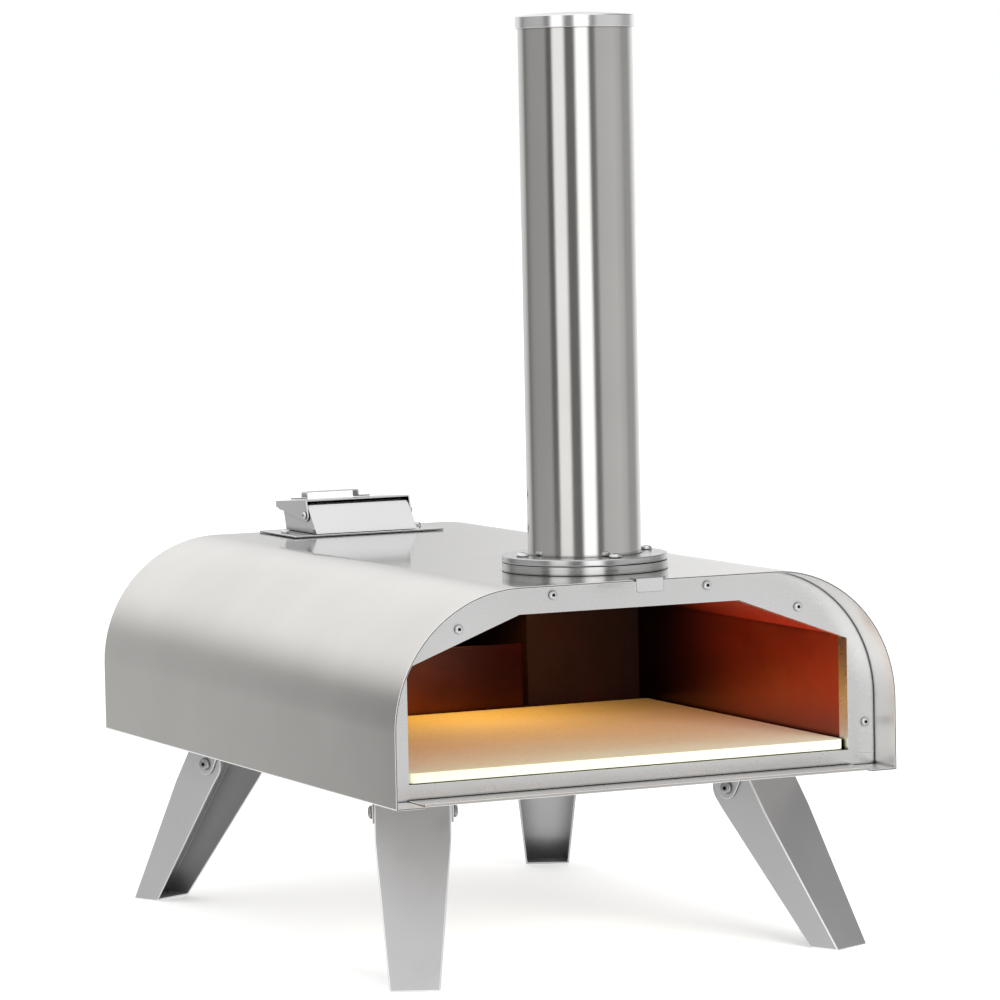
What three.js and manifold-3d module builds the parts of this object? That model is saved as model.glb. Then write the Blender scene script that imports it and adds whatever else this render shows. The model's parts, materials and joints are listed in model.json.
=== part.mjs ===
// A portable wood fired pizza oven: a folded steel shell over a six-sided baking tunnel, a pellet hopper and
// fuel tray at the back, a bolted chimney near the front, and four channel legs that fold under the base.
// Millimetres, +Z up. The oven stands on z = 0, its mouth faces -Y, and x = 0 is its middle plane.
import * as THREE from "three";
import { mergeVertices } from "three/addons/utils/BufferGeometryUtils.js";
import Module from "manifold-3d";

const wasm = await Module();
wasm.setup();

// Sheet metal and the space left between touching pieces.
const SHEET = 1.5;
const THIN_SHEET = 1.2;
const GAP = 0.3;

// Outer shell. Lengths along the oven count from the shell's front rim, at y = 0, to the back.
const BODY_HALF_WIDTH = 200;
const BODY_DEPTH = 573;
const BODY_UNDERSIDE = 133;
const BODY_TOP = 284;
const SHOULDER_RADIUS = 98.5;
const SHELL_RETURN = 22; // the shell's turned-in bottom edges
const BASE_PLATE_RISE = 1; // how far the base plate sits above the returns' underside
const PANEL_RECESS = 30; // how far the front panel sits behind the rim
const REAR_RECESS = 3.5;

// Baking tunnel: vertical sides, slanted shoulders and a flat roof.
const TUNNEL_HALF_WIDTH = 176.5;
const TUNNEL_FLOOR = 146;
const TUNNEL_SIDE_TOP = 228.6;
const TUNNEL_ROOF = 261.4;
const ROOF_HALF_WIDTH = 88;
const TUNNEL_LENGTH = 340;
const PANEL_RETURN = 11.5; // the panel's turned-in edge round the mouth

// Stone and flame baffle.
const STONE_HALF_WIDTH = 175;
const STONE_CORNER = 6;
const STONE_THICKNESS = 7.5;
const STONE_LENGTH = 319;
const BAFFLE_RIGHT = 67;
const BAFFLE_HEIGHT = 58;

// Chimney.
const CHIMNEY_Y = 103;
const PIPE_RADIUS = 41.5;
const PIPE_TOP = 684;
const FLANGE_RADIUS = 60.6;
const LOWER_FLANGE = 6;
const UPPER_FLANGE = 5;
const BOLT_CIRCLE = 50;
const CAP_TOP = 686;
const CAP_DEPTH = 9;
const CAP_CROWN = 2.4; // how far the cap's middle rises above its edge

// Pellet hopper.
const HOPPER_HALF_WIDTH = 44;
const THROAT_HALF_WIDTH = 41;
const HOPPER_FRONT = 499;
const HOPPER_BACK = 562;
const HOPPER_PLATE_HALF_WIDTH = 65;
const HOPPER_PLATE_FRONT = 494;
const HOPPER_PLATE_BACK = 568;
const LID_FRONT = { y: 516.5, z: 312.3 };
const LID_BACK = { y: 579, z: 308.3 };
const LID_PIVOT = { y: 518, z: 300 };
const LID_HANDLE_CLEARANCE = 4.9;

// Burner box, fuel tray and fuel door.
const BURNER_HALF_WIDTH = 85;
const BURNER_FLOOR = 149.5;
const BURNER_ROOF = 238.5;
const TRAY_HALF_WIDTH = 76;
const TRAY_FRONT = 400;
const TRAY_RIM = 192;
const HANDLE_REACH = 30;

// Legs: folded channels, wider and deeper at the top. A leg's own frame has x along its hinge, y inward
// from the foot's outer edge and z up from the ground.
const FOOT_X = 176.4;
const FOOT_Y = 27.8;
const LEG_TURN = 24.8; // degrees between the hinge and the oven's width
const LEG_LEAN = 78 / 133; // inward shift for each unit of height
const FOOT_HALF_WIDTH = 17.85;
const FOOT_DEPTH = 24.6;
const KNEE_HEIGHT = 99; // the sides are parallel above it
const KNEE_HALF_WIDTH = 27.5;
const LEG_PIVOT = { y: 92, z: 115.3 };
const LEG_TOP_RADIUS = 14.4;
const EAR_TIP_RADIUS = 8.6;

// Where the origin lies: under the middle of the whole oven, catch plate to tray handle.
const CATCH_THICKNESS = 1.5;
const REAR_PANEL_BACK = BODY_DEPTH - REAR_RECESS;
const DOOR_BACK = REAR_PANEL_BACK + GAP + SHEET;
const REARMOST = DOOR_BACK + GAP + HANDLE_REACH;
const MIDDLE_Y = (REARMOST - CATCH_THICKNESS) / 2;

const SATIN_STEEL = { color: 0xc4c2be, roughness: 0.38, metalness: 1 };
const POLISHED_STEEL = { color: 0xd8d8da, roughness: 0.12, metalness: 1 };
const GREY_STEEL = { color: 0xa9a8a8, roughness: 0.5, metalness: 0.9 };
const HEATED_STEEL = { color: 0x7a3a22, roughness: 0.35, metalness: 0.9 };
const SOOTED_STEEL = { color: 0x2a211d, roughness: 0.7, metalness: 0.6 };
const CORDIERITE = { color: 0xe9d6a4, roughness: 0.9, metalness: 0 };
const ZINC_SCREW = { color: 0xd0d0d0, roughness: 0.3, metalness: 1 };

// ---- Outlines: lists of points in a plane ----

const at = (a, b) => new THREE.Vector2(a, b);

function arc(centreA, centreB, radius, startDegrees, endDegrees, steps) {
  return Array.from({ length: steps + 1 }, (_, i) => {
    const angle = THREE.MathUtils.degToRad(startDegrees + ((endDegrees - startDegrees) * i) / steps);
    return at(centreA + radius * Math.cos(angle), centreB + radius * Math.sin(angle));
  });
}

const circle = (centreA, centreB, radius, steps) => arc(centreA, centreB, radius, 0, 360, steps).slice(1);

function rectangle(lowA, lowB, highA, highB) {
  return [at(lowA, lowB), at(highA, lowB), at(highA, highB), at(lowA, highB)];
}

// The body's section, a box with two round shoulders, drawn `inset` inside the shell's outer face.
function bodyOutline(inset, bottom) {
  const side = BODY_HALF_WIDTH - inset;
  const radius = SHOULDER_RADIUS - inset;
  const centreX = BODY_HALF_WIDTH - SHOULDER_RADIUS;
  const centreZ = BODY_TOP - SHOULDER_RADIUS;
  return [
    at(-side, bottom),
    at(side, bottom),
    ...arc(centreX, centreZ, radius, 0, 90, 20),
    ...arc(-centreX, centreZ, radius, 90, 180, 20),
  ];
}

// The section inside the shell, down to its returns at the sides and to the base plate between them.
function innerOutline() {
  const plateEdge = BODY_HALF_WIDTH - SHELL_RETURN;
  const plateTop = BODY_UNDERSIDE + BASE_PLATE_RISE + SHEET + GAP;
  const [left, right, ...arch] = bodyOutline(SHEET + GAP, BODY_UNDERSIDE + SHEET + GAP);
  return [
    left,
    at(-plateEdge, left.y),
    at(-plateEdge, plateTop),
    at(plateEdge, plateTop),
    at(plateEdge, right.y),
    right,
    ...arch,
  ];
}

// The tunnel's section, grown by `offset` on every side.
function tunnelOutline(offset) {
  const slope = at(TUNNEL_HALF_WIDTH - ROOF_HALF_WIDTH, TUNNEL_ROOF - TUNNEL_SIDE_TOP).normalize();
  const side = TUNNEL_HALF_WIDTH + offset;
  const roof = ROOF_HALF_WIDTH + (offset * (1 - slope.x)) / slope.y;
  const sideTop = TUNNEL_SIDE_TOP + (offset * (1 - slope.y)) / slope.x;
  return [
    at(-side, TUNNEL_FLOOR - offset),
    at(side, TUNNEL_FLOOR - offset),
    at(side, sideTop),
    at(roof, TUNNEL_ROOF + offset),
    at(-roof, TUNNEL_ROOF + offset),
    at(-side, sideTop),
  ];
}

// ---- Solids ----

// How an outline in (a, b), extruded along its normal, is turned to run along each axis.
const TURNED = {
  x: new THREE.Matrix4().set(0, 0, 1, 0, 1, 0, 0, 0, 0, 1, 0, 0, 0, 0, 0, 1), // outline in (y, z)
  y: new THREE.Matrix4().set(1, 0, 0, 0, 0, 0, -1, 0, 0, 1, 0, 0, 0, 0, 0, 1), // outline in (x, z)
  z: new THREE.Matrix4(), // outline in (x, y)
};

// A slab between `from` and `to` along an axis, with the given outline and holes.
function slab(axis, from, to, outline, holes = []) {
  const options = { depth: to - from, bevelEnabled: false };
  const geometry = new THREE.ExtrudeGeometry(new THREE.Shape(outline), options);
  geometry.translate(0, 0, axis === "y" ? -to : from);
  geometry.applyMatrix4(TURNED[axis]);
  const plugs = holes.map((points) => slab(axis, from - 1, to + 1, points));
  return plugs.length ? cut(geometry, ...plugs) : geometry;
}

// A body of revolution about +Z, from a profile of [radius, height] pairs that goes round counter-clockwise.
function turned(profile, segments) {
  const geometry = new THREE.LatheGeometry(
    profile.map(([radius, height]) => at(radius, height)),
    segments,
  );
  return geometry.applyMatrix4(TURNED.y);
}

function solid(geometry) {
  const loose = geometry.index ? geometry.toNonIndexed() : geometry;
  const bare = new THREE.BufferGeometry().setAttribute("position", loose.getAttribute("position"));
  const merged = mergeVertices(bare, 1e-4);
  const vertProperties = merged.attributes.position.array;
  const triVerts = new Uint32Array(merged.index.array);
  return new wasm.Manifold(new wasm.Mesh({ numProp: 3, vertProperties, triVerts }));
}

function surface(manifold) {
  const { numProp, vertProperties, triVerts } = manifold.getMesh();
  const positions = new THREE.InterleavedBufferAttribute(
    new THREE.InterleavedBuffer(vertProperties, numProp),
    3,
    0,
  );
  const indexed = new THREE.BufferGeometry().setAttribute("position", positions);
  const geometry = indexed.setIndex(new THREE.BufferAttribute(triVerts, 1)).toNonIndexed();
  geometry.computeVertexNormals();
  return geometry;
}

const joined = (...parts) => surface(parts.map(solid).reduce((whole, part) => whole.add(part)));

const cut = (body, ...tools) =>
  surface(tools.map(solid).reduce((whole, tool) => whole.subtract(tool), solid(body)));

const common = (first, second) => surface(solid(first).intersect(solid(second)));

// ---- The assembly ----

const pizzaOven = new THREE.Group();
const oven = new THREE.Group();
oven.position.y = -MIDDLE_Y;
pizzaOven.add(oven);

function place(name, geometry, look, parent = oven) {
  const mesh = new THREE.Mesh(geometry, new THREE.MeshStandardMaterial(look));
  mesh.name = name;
  parent.add(mesh);
  return mesh;
}

const SCREW_HOLE = 2;
const SCREW_SHANK = 1.6;
const holeAt = (a, b, radius = SCREW_HOLE) => circle(a, b, radius, 12);

// A button-head screw with its head's seat at z = 0 and its shank below.
function screw(headRadius, headHeight, shankRadius, shankLength) {
  return turned(
    [
      [0, -shankLength],
      [shankRadius, -shankLength],
      [shankRadius, 0],
      [headRadius, 0],
      [headRadius * 0.9, headHeight * 0.5],
      [headRadius * 0.55, headHeight * 0.9],
      [0, headHeight],
    ],
    12,
  );
}

const panelScrew = () => screw(3.2, 2, SCREW_SHANK, 6);

// Puts a screw's seat at a point, with its head towards the given direction.
function fasten(name, geometry, [x, y, z], direction, parent = oven) {
  const mesh = place(name, geometry, ZINC_SCREW, parent);
  mesh.position.set(x, y, z);
  mesh.quaternion.setFromUnitVectors(new THREE.Vector3(0, 0, 1), new THREE.Vector3(...direction));
}

const BOLT_HOLE = 2.7;
const flangeBoltSpots = [
  ["front", 0, -1],
  ["right", 1, 0],
  ["rear", 0, 1],
  ["left", -1, 0],
].map(([side, x, y]) => ({ side, x: x * BOLT_CIRCLE, y: CHIMNEY_Y + y * BOLT_CIRCLE }));

const throatHole = rectangle(-THROAT_HALF_WIDTH, HOPPER_FRONT + 4, THROAT_HALF_WIDTH, HOPPER_BACK - 3);

function buildShell() {
  const along = [0, BODY_DEPTH];
  const slot = BODY_HALF_WIDTH - SHELL_RETURN;
  const shell = cut(
    slab("y", ...along, bodyOutline(0, BODY_UNDERSIDE)),
    slab("y", -1, BODY_DEPTH + 1, bodyOutline(SHEET, BODY_UNDERSIDE + SHEET)),
    slab("y", -1, BODY_DEPTH + 1, rectangle(-slot, BODY_UNDERSIDE - 1, slot, BODY_UNDERSIDE + SHEET + 1)),
    slab("z", BODY_TOP - 5, BODY_TOP + 5, circle(0, CHIMNEY_Y, PIPE_RADIUS + 1, 48)),
    slab("z", BODY_TOP - 5, BODY_TOP + 5, throatHole),
    ...flangeBoltSpots.map(({ x, y }) => slab("z", BODY_TOP - 5, BODY_TOP + 5, holeAt(x, y, BOLT_HOLE))),
  );
  place("outer_shell", shell, SATIN_STEEL);

  // The base plate lies inside the shell's returns, with a rolled hem along its front and back edges.
  const underside = BODY_UNDERSIDE + BASE_PLATE_RISE;
  const side = slot - 0.4;
  const hem = 3;
  const base = joined(
    slab("z", underside, underside + SHEET, rectangle(-side, 0.4, side, BODY_DEPTH - 0.4)),
    slab("x", -side, side, rectangle(0.4, underside, 0.4 + hem, underside + 2.4)),
    slab("x", -side, side, rectangle(BODY_DEPTH - 0.4 - hem, underside, BODY_DEPTH - 0.4, underside + 2.4)),
  );
  place("base_plate", base, GREY_STEEL);

  // A plain plate hooked over the middle of the rim, which a door's latch catches on.
  const catchHalfWidth = 10.9;
  const catchDrop = 9;
  const catchOutline = [
    at(-catchHalfWidth, BODY_TOP + 1),
    ...arc(-catchHalfWidth + 2, BODY_TOP - catchDrop + 2, 2, 180, 270, 3),
    ...arc(catchHalfWidth - 2, BODY_TOP - catchDrop + 2, 2, 270, 360, 3),
    at(catchHalfWidth, BODY_TOP + 1),
  ];
  const hook = rectangle(-catchHalfWidth - 1.5, -CATCH_THICKNESS, catchHalfWidth + 1.5, 6);
  place(
    "door_catch_plate",
    joined(slab("y", -CATCH_THICKNESS, -GAP, catchOutline), slab("z", BODY_TOP + GAP, BODY_TOP + 1.3, hook)),
    SATIN_STEEL,
  );
}

// Where the front panel's screws sit, on the right-hand side; the left-hand side mirrors them.
const PANEL_SCREWS = [
  ["top", 61.8, 274],
  ["shoulder", 136, 254],
  ["side", 190.5, 166],
];
const REAR_SCREWS = [
  ["top", 120, 256],
  ["bottom", 186, 150],
];
const mirrored = (spots) =>
  spots.flatMap(([name, x, z]) => [
    [name + "_left", -x, z],
    [name + "_right", x, z],
  ]);

function buildTunnel() {
  const panelHoles = mirrored(PANEL_SCREWS).map(([, x, z]) => holeAt(x, z));
  const panelBack = PANEL_RECESS + SHEET;
  const panel = joined(
    slab("y", PANEL_RECESS, panelBack, innerOutline(), [tunnelOutline(0), ...panelHoles]),
    slab("y", PANEL_RECESS, panelBack + PANEL_RETURN, tunnelOutline(THIN_SHEET), [tunnelOutline(0)]),
  );
  place("front_panel", panel, SATIN_STEEL);
  for (const [name, x, z] of mirrored(PANEL_SCREWS))
    fasten("front_panel_screw_" + name, panelScrew(), [x, PANEL_RECESS - GAP, z], [0, -1, 0]);

  // The liner: a six-sided tube with a flange behind the front panel and a hole under the chimney.
  const linerFront = panelBack + GAP;
  const linerBack = linerFront + TUNNEL_LENGTH;
  const clearance = THIN_SHEET + GAP;
  const flangeHoles = [tunnelOutline(clearance), ...panelHoles];
  const flange = slab("y", linerFront, linerFront + SHEET, innerOutline(), flangeHoles);
  const tube = slab("y", linerFront, linerBack, tunnelOutline(clearance + SHEET), [tunnelOutline(clearance)]);
  const flueHole = slab("z", TUNNEL_ROOF, TUNNEL_ROOF + 10, circle(0, CHIMNEY_Y, PIPE_RADIUS - SHEET, 48));
  // A bead across the floor carries the back of the stone, level with the panel's turned-in edge.
  const beadFloor = TUNNEL_FLOOR - clearance - SHEET / 2;
  const bead = slab("z", beadFloor, TUNNEL_FLOOR, rectangle(-150, 325, 150, 337));
  place("inner_liner", cut(joined(flange, tube, bead), flueHole), HEATED_STEEL);

  const wallFront = linerBack + GAP;
  const mouth = rectangle(-80, 152, 80, 234);
  const wall = slab("y", wallFront, wallFront + SHEET, tunnelOutline(clearance + SHEET), [mouth]);
  place("inner_rear_wall", wall, SOOTED_STEEL);

  const stoneFront = panelBack + SHEET;
  const stoneBottom = TUNNEL_FLOOR + GAP;
  const cornerX = STONE_HALF_WIDTH - STONE_CORNER;
  const cornerFront = stoneFront + STONE_CORNER;
  const cornerBack = stoneFront + STONE_LENGTH - STONE_CORNER;
  const stone = [
    ...arc(-cornerX, cornerFront, STONE_CORNER, 180, 270, 5),
    ...arc(cornerX, cornerFront, STONE_CORNER, 270, 360, 5),
    ...arc(cornerX, cornerBack, STONE_CORNER, 0, 90, 5),
    ...arc(-cornerX, cornerBack, STONE_CORNER, 90, 180, 5),
  ];
  place("pizza_stone", slab("z", stoneBottom, stoneBottom + STONE_THICKNESS, stone), CORDIERITE);

  // The baffle stands across the back of the stone on a foot turned towards the burner.
  const baffleFront = stoneFront + STONE_LENGTH + 2;
  const baffleProfile = [
    at(baffleFront, stoneBottom),
    at(baffleFront + 15, stoneBottom),
    at(baffleFront + 15, stoneBottom + SHEET),
    at(baffleFront + SHEET, stoneBottom + SHEET),
    at(baffleFront + SHEET, stoneBottom + BAFFLE_HEIGHT),
    at(baffleFront, stoneBottom + BAFFLE_HEIGHT),
  ];
  place("flame_baffle", slab("x", -STONE_HALF_WIDTH, BAFFLE_RIGHT, baffleProfile), HEATED_STEEL);
  return wallFront + SHEET;
}

function buildBurner(tunnelEnd) {
  const rearPanelFront = REAR_PANEL_BACK - SHEET;
  const boxFront = tunnelEnd + GAP;
  const boxBack = rearPanelFront - GAP;
  const inside = rectangle(-BURNER_HALF_WIDTH + SHEET, BURNER_FLOOR, BURNER_HALF_WIDTH - SHEET, BURNER_ROOF);
  const outside = rectangle(-BURNER_HALF_WIDTH, BURNER_FLOOR - SHEET, BURNER_HALF_WIDTH, BURNER_ROOF + SHEET);
  const throat = slab("z", BURNER_ROOF - 2, BURNER_ROOF + 5, throatHole);
  place("burner_box", cut(slab("y", boxFront, boxBack, outside, [inside]), throat), SOOTED_STEEL);

  const ductSide = THROAT_HALF_WIDTH + SHEET;
  const ductOutline = rectangle(-ductSide, HOPPER_FRONT + 4 - SHEET, ductSide, HOPPER_BACK - 3 + SHEET);
  const ductBottom = BURNER_ROOF + SHEET + GAP;
  const duct = slab("z", ductBottom, BODY_TOP - SHEET - GAP, ductOutline, [throatHole]);
  place("pellet_duct", duct, SOOTED_STEEL);

  const rearHoles = mirrored(REAR_SCREWS).map(([, x, z]) => holeAt(x, z));
  const rearPanel = slab("y", rearPanelFront, REAR_PANEL_BACK, innerOutline(), [inside, ...rearHoles]);
  place("rear_panel", rearPanel, SATIN_STEEL);
  for (const [name, x, z] of mirrored(REAR_SCREWS))
    fasten("rear_panel_screw_" + name, panelScrew(), [x, REAR_PANEL_BACK + GAP, z], [0, 1, 0]);

  // The fuel tray: an open box with a slotted grate on its ledge, drawn out backwards by the fuel door.
  const trayFloor = BURNER_FLOOR + GAP;
  const trayInside = TRAY_HALF_WIDTH - SHEET;
  const well = rectangle(-trayInside, TRAY_FRONT + SHEET, trayInside, rearPanelFront - SHEET);
  const trayBlock = rectangle(-TRAY_HALF_WIDTH, TRAY_FRONT, TRAY_HALF_WIDTH, rearPanelFront);
  const grateLevel = trayFloor + 10;
  const ledgeBack = rearPanelFront - SHEET - 4;
  const ledge = rectangle(-trayInside + 4, TRAY_FRONT + SHEET + 4, trayInside - 4, ledgeBack);
  const tray = joined(
    slab("z", trayFloor, trayFloor + SHEET, trayBlock),
    slab("z", trayFloor, TRAY_RIM, trayBlock, [well]),
    slab("z", grateLevel - SHEET, grateLevel, trayBlock, [ledge]),
  );
  place("fuel_tray", tray, SOOTED_STEEL);

  const slotCount = 9;
  const slotPitch = 15;
  const grateSlots = Array.from({ length: slotCount }, (_, i) => {
    const y = TRAY_FRONT + 21 + i * slotPitch;
    return rectangle(-55, y, 55, y + 5);
  });
  const grateOutline = rectangle(
    -trayInside + 0.5,
    TRAY_FRONT + SHEET + 0.5,
    trayInside - 0.5,
    rearPanelFront - SHEET - 0.5,
  );
  const grateBottom = grateLevel + GAP;
  place("fire_grate", slab("z", grateBottom, grateBottom + SHEET, grateOutline, grateSlots), SOOTED_STEEL);

  const doorFront = REAR_PANEL_BACK + GAP;
  const airSlots = [-48, -24, 0, 24, 48].map((x) => rectangle(x - 7, 164, x + 7, 169));
  const stem = slab("y", rearPanelFront + GAP, doorFront + SHEET, rectangle(-70, 174, 70, 188));
  const doorPlate = slab("y", doorFront, DOOR_BACK, rectangle(-92, 143, 92, 245), airSlots);
  place("fuel_door", joined(doorPlate, stem), SATIN_STEEL);

  const handleHalfWidth = 42;
  const handleFoot = 14;
  const handleZ = 202;
  const start = DOOR_BACK + GAP;
  const bend = 6;
  const strap = 2.5;
  const handleOutline = [
    at(-handleHalfWidth - handleFoot, start),
    at(-handleHalfWidth + strap, start),
    at(-handleHalfWidth + strap, REARMOST - bend),
    at(-handleHalfWidth + bend, REARMOST - strap),
    at(handleHalfWidth - bend, REARMOST - strap),
    at(handleHalfWidth - strap, REARMOST - bend),
    at(handleHalfWidth - strap, start),
    at(handleHalfWidth + handleFoot, start),
    at(handleHalfWidth + handleFoot, start + strap),
    at(handleHalfWidth, start + strap),
    ...arc(handleHalfWidth - bend, REARMOST - bend, bend, 0, 90, 3),
    ...arc(-handleHalfWidth + bend, REARMOST - bend, bend, 90, 180, 3),
    at(-handleHalfWidth, start + strap),
    at(-handleHalfWidth - handleFoot, start + strap),
  ];
  place("tray_handle", slab("z", handleZ - 7, handleZ + 7, handleOutline), SATIN_STEEL);
  const rivetSeat = start + strap + GAP + 0.2;
  for (const [side, x] of [
    ["left", -handleHalfWidth - 7.5],
    ["right", handleHalfWidth + 7.5],
  ])
    fasten("tray_handle_rivet_" + side, screw(3.2, 2, 1, 0.2), [x, rivetSeat, handleZ], [0, 1, 0]);
}

function buildChimney() {
  const lowerBottom = BODY_TOP + GAP;
  const upperBottom = lowerBottom + LOWER_FLANGE + GAP;
  const boltHoles = flangeBoltSpots.map(({ x, y }) => holeAt(x, y, BOLT_HOLE));
  const rim = circle(0, CHIMNEY_Y, FLANGE_RADIUS, 64);
  const bore = circle(0, CHIMNEY_Y, PIPE_RADIUS + GAP, 48);
  const ringHoles = [bore, ...boltHoles];
  const ring = (bottom, thickness) => slab("z", bottom, bottom + thickness, rim, ringHoles);
  place("chimney_flange_lower", ring(lowerBottom, LOWER_FLANGE), SATIN_STEEL);
  place("chimney_flange_upper", ring(upperBottom, UPPER_FLANGE), SATIN_STEEL);
  const seat = upperBottom + UPPER_FLANGE + GAP;
  for (const { side, x, y } of flangeBoltSpots)
    fasten("chimney_bolt_" + side, screw(4.7, 2.6, 2.3, 14), [x, y, seat], [0, 0, 1]);

  const linerRoof = TUNNEL_ROOF + THIN_SHEET + GAP + SHEET;
  const pipeOutline = circle(0, CHIMNEY_Y, PIPE_RADIUS, 48);
  const flue = circle(0, CHIMNEY_Y, PIPE_RADIUS - SHEET, 48);
  place("chimney_pipe", slab("z", linerRoof + GAP, PIPE_TOP, pipeOutline, [flue]), POLISHED_STEEL);

  const skirtInside = PIPE_RADIUS + GAP;
  const skirtOutside = skirtInside + THIN_SHEET;
  const crownRadius = skirtOutside - 0.6;
  const crown = [1, 0.8, 0.6, 0.4, 0.2, 0].map((part) => [
    crownRadius * part,
    CAP_TOP + CAP_CROWN * (1 - part * part),
  ]);
  const cap = turned(
    [
      [0, PIPE_TOP + GAP],
      [skirtInside, PIPE_TOP + GAP],
      [skirtInside, CAP_TOP - CAP_DEPTH],
      [skirtOutside, CAP_TOP - CAP_DEPTH],
      [skirtOutside, CAP_TOP - 0.6],
      ...crown,
    ],
    48,
  );
  place("chimney_cap", cap, POLISHED_STEEL).position.y = CHIMNEY_Y;
}

function buildHopper() {
  const plateBottom = BODY_TOP + GAP;
  const plateTop = plateBottom + SHEET;
  const plateOutline = rectangle(
    -HOPPER_PLATE_HALF_WIDTH,
    HOPPER_PLATE_FRONT,
    HOPPER_PLATE_HALF_WIDTH,
    HOPPER_PLATE_BACK,
  );
  place("hopper_plate", slab("z", plateBottom, plateTop, plateOutline, [throatHole]), POLISHED_STEEL);
  const plateMiddle = (HOPPER_PLATE_FRONT + HOPPER_PLATE_BACK) / 2;
  const screwSeat = plateTop + GAP + 0.2;
  for (const [side, x] of [
    ["left", -58],
    ["right", 58],
  ])
    fasten("hopper_plate_screw_" + side, screw(3.6, 2.2, 1, 0.2), [x, plateMiddle, screwSeat], [0, 0, 1]);

  // The chute leans back: its side profile is cut hollow through the top and bottom.
  const chuteBottom = plateTop + GAP;
  const chuteTopFront = { y: LID_FRONT.y + 3, z: 310.5 };
  const chuteTopBack = { y: LID_BACK.y - 10, z: 307 };
  const frontLean = (chuteTopFront.y - HOPPER_FRONT) / (chuteTopFront.z - chuteBottom);
  const backLean = (chuteTopBack.y - HOPPER_BACK) / (chuteTopBack.z - chuteBottom);
  const chuteProfile = (wall, low, high) => {
    const front = (z) => HOPPER_FRONT + wall + frontLean * (z - chuteBottom);
    const back = (z) => HOPPER_BACK - wall + backLean * (z - chuteBottom);
    return [at(front(low), low), at(back(low), low), at(back(high), high), at(front(high), high)];
  };
  const [lowFront, lowBack] = chuteProfile(0, chuteBottom, 310);
  const highBack = at(chuteTopBack.y, chuteTopBack.z);
  const highFront = at(chuteTopFront.y, chuteTopFront.z);
  const outerProfile = [lowFront, lowBack, highBack, highFront];
  const pivotHole = slab("x", -60, 60, holeAt(LID_PIVOT.y, LID_PIVOT.z));
  const inner = HOPPER_HALF_WIDTH - THIN_SHEET;
  const chute = cut(
    slab("x", -HOPPER_HALF_WIDTH, HOPPER_HALF_WIDTH, outerProfile),
    slab("x", -inner, inner, chuteProfile(THIN_SHEET, chuteBottom - 5, 320)),
    pivotHole,
  );
  place("hopper_chute", chute, POLISHED_STEEL);

  // The lid: a sloping top with side flanges outside the chute, which turn about two screws near its front.
  const flangeInside = HOPPER_HALF_WIDTH + 0.5;
  const flangeOutside = flangeInside + THIN_SHEET;
  const lidFall = (LID_FRONT.z - LID_BACK.z) / (LID_BACK.y - LID_FRONT.y);
  const lidUnder = at(LID_FRONT.y, LID_FRONT.z - THIN_SHEET);
  const lidBackUnder = at(LID_BACK.y, LID_BACK.z - THIN_SHEET);
  const lidTop = [lidUnder, lidBackUnder, at(LID_BACK.y, LID_BACK.z), at(LID_FRONT.y, LID_FRONT.z)];
  const flangeProfile = [
    at(LID_FRONT.y, LID_FRONT.z),
    at(LID_PIVOT.y - 5.2, 298.5),
    ...arc(LID_PIVOT.y, LID_PIVOT.z - 0.3, 4.6, 210, 290, 4),
    at(LID_BACK.y - 15.5, 301),
    at(LID_BACK.y - 7, 301.6),
    at(LID_BACK.y, 304),
    at(LID_BACK.y, LID_BACK.z),
  ];
  const rearLip = [
    at(LID_BACK.y - THIN_SHEET, 303.2),
    at(LID_BACK.y, 303.2),
    at(LID_BACK.y, LID_BACK.z - 0.5),
    at(LID_BACK.y - THIN_SHEET, LID_BACK.z - 0.5),
  ];
  const lid = joined(
    slab("x", -flangeOutside, flangeOutside, lidTop),
    slab("x", -flangeOutside, -flangeInside, flangeProfile),
    slab("x", flangeInside, flangeOutside, flangeProfile),
    slab("x", -flangeOutside, flangeOutside, rearLip),
  );
  place("hopper_lid", cut(lid, pivotHole), POLISHED_STEEL);
  for (const side of [-1, 1])
    fasten(
      "lid_pivot_screw_" + (side < 0 ? "left" : "right"),
      screw(3, 1.8, SCREW_SHANK, 5),
      [side * (flangeOutside + GAP), LID_PIVOT.y, LID_PIVOT.z],
      [side, 0, 0],
    );

  // A low strap handle across the back of the lid.
  const strap = 1.2;
  const loop = 23.3;
  const foot = 33;
  const handleOutline = [
    at(-foot, 0),
    at(-loop + strap, 0),
    at(-loop + strap, LID_HANDLE_CLEARANCE),
    at(loop - strap, LID_HANDLE_CLEARANCE),
    at(loop - strap, 0),
    at(foot, 0),
    at(foot, strap),
    at(loop, strap),
    ...arc(loop - 1.5, LID_HANDLE_CLEARANCE + strap - 1.5, 1.5, 0, 90, 3),
    ...arc(-loop + 1.5, LID_HANDLE_CLEARANCE + strap - 1.5, 1.5, 90, 180, 3),
    at(-loop, strap),
    at(-foot, strap),
  ];
  const handle = place("lid_handle", slab("y", -5.5, 5.5, handleOutline), POLISHED_STEEL);
  const handleY = LID_BACK.y - 6;
  handle.position.set(0, handleY, LID_FRONT.z - lidFall * (handleY - LID_FRONT.y) + GAP + 0.1);
  handle.rotation.x = -Math.atan(lidFall);
}

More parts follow.
